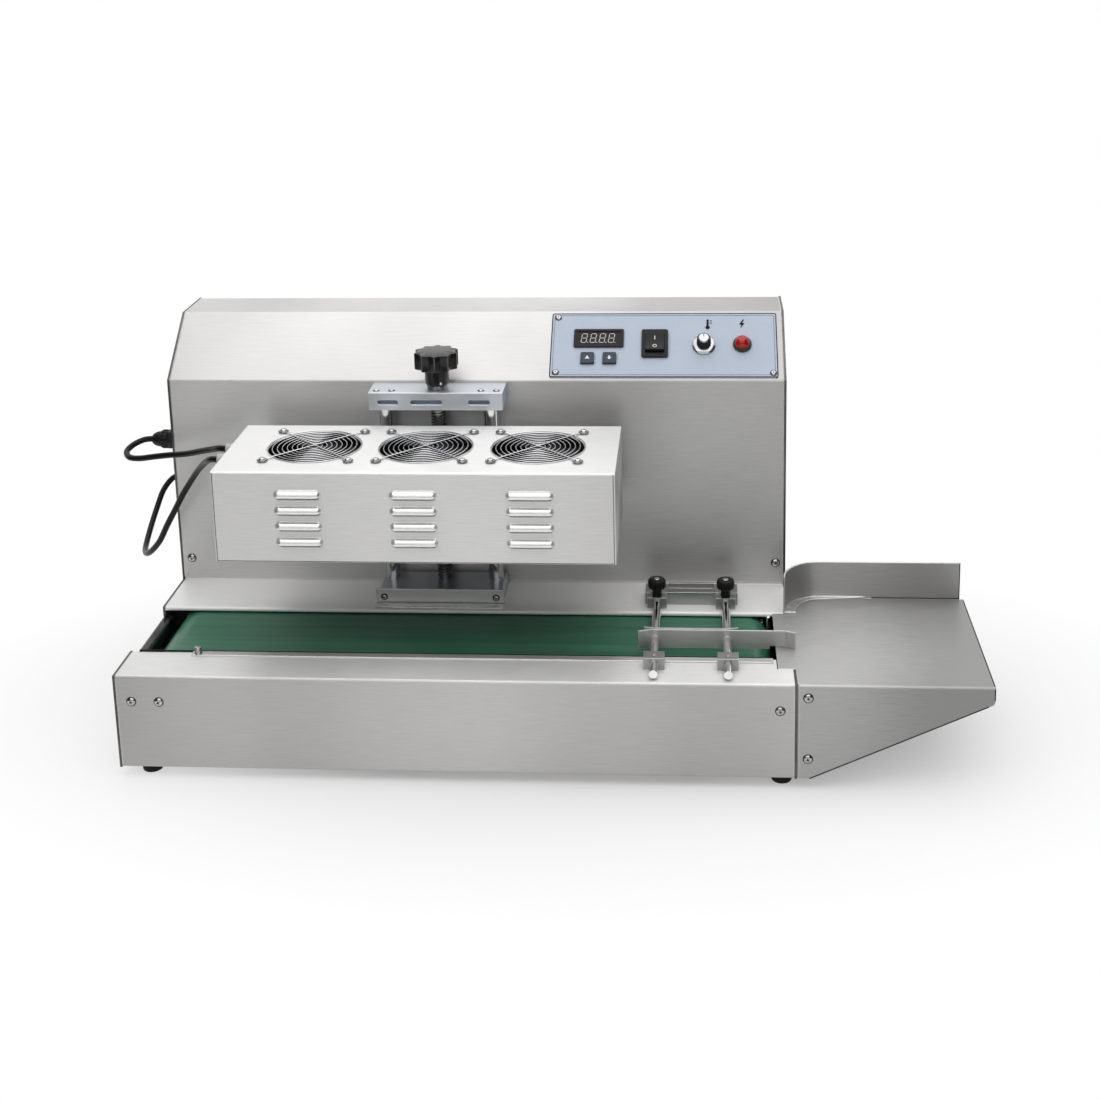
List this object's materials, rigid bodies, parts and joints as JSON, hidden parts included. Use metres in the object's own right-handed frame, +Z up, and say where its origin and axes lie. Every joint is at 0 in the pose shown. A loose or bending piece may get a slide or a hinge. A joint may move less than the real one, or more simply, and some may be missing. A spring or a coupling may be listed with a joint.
{
  "type": "induction cap sealer",
  "caption": "Tabletop induction cap sealer: belt conveyor in a folded steel base, height-adjustable fan-cooled sealing head, control tower and outfeed table.",
  "frame": {"origin": "under the middle of the housing and table, on the plane that the feet stand on", "axes": "+X along the belt's travel to the outfeed table, +Y from the front to the back, +Z up"},
  "size_m": [1.108, 0.4456, 0.4867],
  "materials": {
    "stainless": "brushed along the length, softly bent edges",
    "screws": "plain turned heads",
    "chrome_steel": "ground and polished",
    "aluminium": "satin anodised",
    "black_rubber": "matt",
    "black_plastic": "moulded, fine grain",
    "green_belt": "satin PVC belt",
    "bronze": "turned",
    "copper": "wound",
    "pale_plastic": "moulded",
    "panel_blue_grey": "satin printed sheet",
    "key_grey": "moulded keys",
    "lamp_red": "clear red dome"
  },
  "bodies": {
    "machine_frame": {"base_front_panel": "stainless", "left_side_plate": "stainless", "right_side_plate": "stainless", "bottom_plate": "stainless", "deck_ledge": "stainless", "tower_cover": "stainless", "rear_panel": "stainless", "rubber_feet": "black_rubber", "housing_screws": "screws", "belt_edge_strip": "stainless", "belt_end_bar": "black_plastic", "power_inlet": "black_plastic", "conveyor_belt": "green_belt", "conveyor_rails": "aluminium", "belt_bed": "stainless", "roller_bearings": "chrome_steel", "drive_belt": "black_rubber", "gear_motor": "black_plastic", "top_bracket": "aluminium", "foot_block": "black_plastic", "foot_bracket": "stainless", "column_rods": "chrome_steel", "control_panel": "panel_blue_grey", "display_module": "black_plastic", "switch_housing": "black_plastic", "indicator_lamp": "lamp_red", "rear_guide_base": "stainless", "front_guide_blocks": "stainless", "table": "stainless", "table_fence": "stainless", "tower_glands": "black_plastic", "upper_cable": "black_rubber", "lower_cable": "black_rubber", "power_module": "aluminium"},
    "sealing_head": {"head_cover": "stainless", "fan_frames": "black_plastic", "fan_guards": "chrome_steel", "fan_screws": "screws", "coil_tray": "black_plastic", "induction_coil": "copper", "head_carriage": "aluminium", "lift_nut": "bronze", "rod_bushes": "bronze", "head_glands": "pale_plastic"},
    "lift_screw": {"lead_screw": "chrome_steel", "lift_knob": "black_plastic"},
    "fan_1": {"fan_rotor_1": "black_plastic"},
    "fan_2": {"fan_rotor_2": "black_plastic"},
    "fan_3": {"fan_rotor_3": "black_plastic"},
    "drive_roll": {"drive_roller": "chrome_steel"},
    "idler_roll": {"idler_roller": "chrome_steel"},
    "motor_wheel": {"motor_pulley": "chrome_steel"},
    "front_guide_slide": {"front_guide": "stainless"},
    "rear_guide_slide": {"rear_guide": "stainless"},
    "thumb_screw_left": {"guide_knob_left": "black_plastic"},
    "thumb_screw_right": {"guide_knob_right": "black_plastic"},
    "power_rocker": {"switch_rocker": "black_plastic"},
    "up_key": {"up_button": "key_grey"},
    "down_key": {"down_button": "key_grey"},
    "dial": {"dial_knob": "black_plastic"}
  },
  "joints": [
    {"name": "head_lift", "type": "slide", "parent": "machine_frame", "child": "sealing_head", "axis": [0, 0, 1], "range_m": [-0.1, 0.035], "deforming": ["upper_cable", "lower_cable"]},
    {"name": "lift_turn", "type": "hinge", "parent": "machine_frame", "child": "lift_screw", "pos_m": [-0.1565, 0.034, 0.3], "axis": [0, 0, 1], "range_deg": [-9010, 3160]},
    {"name": "fan_1_spin", "type": "hinge", "parent": "sealing_head", "child": "fan_1", "pos_m": [-0.294, -0.0775, 0.35], "axis": [0, 0, 1], "continuous": true},
    {"name": "fan_2_spin", "type": "hinge", "parent": "sealing_head", "child": "fan_2", "pos_m": [-0.155, -0.0775, 0.35], "axis": [0, 0, 1], "continuous": true},
    {"name": "fan_3_spin", "type": "hinge", "parent": "sealing_head", "child": "fan_3", "pos_m": [-0.016, -0.0775, 0.35], "axis": [0, 0, 1], "continuous": true},
    {"name": "drive_roll_spin", "type": "hinge", "parent": "machine_frame", "child": "drive_roll", "pos_m": [0.2397, -0.09, 0.0967], "axis": [0, 1, 0], "continuous": true},
    {"name": "idler_roll_spin", "type": "hinge", "parent": "machine_frame", "child": "idler_roll", "pos_m": [-0.4697, -0.09, 0.0967], "axis": [0, 1, 0], "continuous": true},
    {"name": "motor_spin", "type": "hinge", "parent": "machine_frame", "child": "motor_wheel", "pos_m": [0.1197, 0, 0.0967], "axis": [0, 1, 0], "continuous": true},
    {"name": "front_guide_set", "type": "slide", "parent": "machine_frame", "child": "front_guide_slide", "axis": [0, 1, 0], "range_m": [-0.022, 0.008]},
    {"name": "rear_guide_set", "type": "slide", "parent": "machine_frame", "child": "rear_guide_slide", "axis": [0, 1, 0], "range_m": [0, 0.045]},
    {"name": "left_thumb_turn", "type": "hinge", "parent": "machine_frame", "child": "thumb_screw_left", "pos_m": [0.126, -0.015, 0.16], "axis": [0, 0, 1], "range_deg": [0, 360]},
    {"name": "right_thumb_turn", "type": "hinge", "parent": "machine_frame", "child": "thumb_screw_right", "pos_m": [0.214, -0.015, 0.16], "axis": [0, 0, 1], "range_deg": [0, 360]},
    {"name": "rocker_tip", "type": "hinge", "parent": "machine_frame", "child": "power_rocker", "pos_m": [0.1235, 0.09729, 0.45391], "axis": [1, 0, 0], "range_deg": [0, 16]},
    {"name": "up_press", "type": "slide", "parent": "machine_frame", "child": "up_key", "axis": [0, -0.6428, 0.766], "range_m": [-0.0015, 0], "stiffness_N_per_m": 300},
    {"name": "down_press", "type": "slide", "parent": "machine_frame", "child": "down_key", "axis": [0, -0.6428, 0.766], "range_m": [-0.0015, 0], "stiffness_N_per_m": 300},
    {"name": "dial_turn", "type": "hinge", "parent": "machine_frame", "child": "dial", "pos_m": [0.1878, 0.09454, 0.45486], "axis": [0, -0.6428, 0.766], "range_deg": [-150, 150]}
  ],
  "couplings": [
    {"joint": "lift_turn", "follows": "head_lift", "rad_per_m": 1570.8},
    {"joint": "idler_roll_spin", "follows": "drive_roll_spin", "ratio": 1},
    {"joint": "motor_spin", "follows": "drive_roll_spin", "ratio": 1.5}
  ]
}
